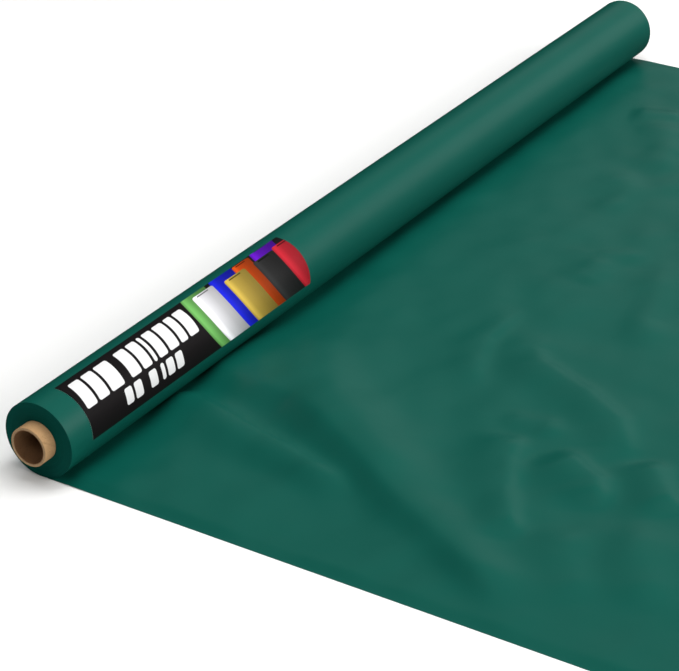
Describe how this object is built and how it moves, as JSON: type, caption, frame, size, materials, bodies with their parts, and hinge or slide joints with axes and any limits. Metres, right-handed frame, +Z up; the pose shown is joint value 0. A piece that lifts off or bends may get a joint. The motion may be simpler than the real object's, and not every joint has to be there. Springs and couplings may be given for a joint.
{
  "type": "backdrop roll",
  "caption": "Roll of smooth green sheeting on a spiral-wound cardboard core, partly pulled out flat along the floor, with a plain colour-chart label on the outer turn.",
  "frame": {"origin": "centre of the core's bore, on its axis at mid-length", "axes": "+Y along the core's axis, away from the labelled end; +X the way the sheet is pulled off the roll; +Z up"},
  "size_m": [0.652, 1.04, 0.0642],
  "materials": {
    "core_board": "matt grey-brown board with cut fibres",
    "core_face": "matt tan kraft paper",
    "paper_tape": "matt cream paper tape",
    "sheeting": "smooth satin dark green film",
    "label_stock": "black printed label with plain colour bars"
  },
  "bodies": {
    "sheet": {"laid_sheet": "sheeting"},
    "roll": {"core_liner_ply": "core_board", "core_second_ply": "core_board", "core_middle_ply": "core_board", "core_fourth_ply": "core_board", "core_face_ply": "core_face", "start_tape": "paper_tape", "wound_sheet": "sheeting", "label": "label_stock"}
  },
  "joints": [
    {"name": "roll_spin", "type": "hinge", "parent": "sheet", "child": "roll", "pos_m": [0, 0, 0], "axis": [0, -1, 0], "continuous": true}
  ]
}
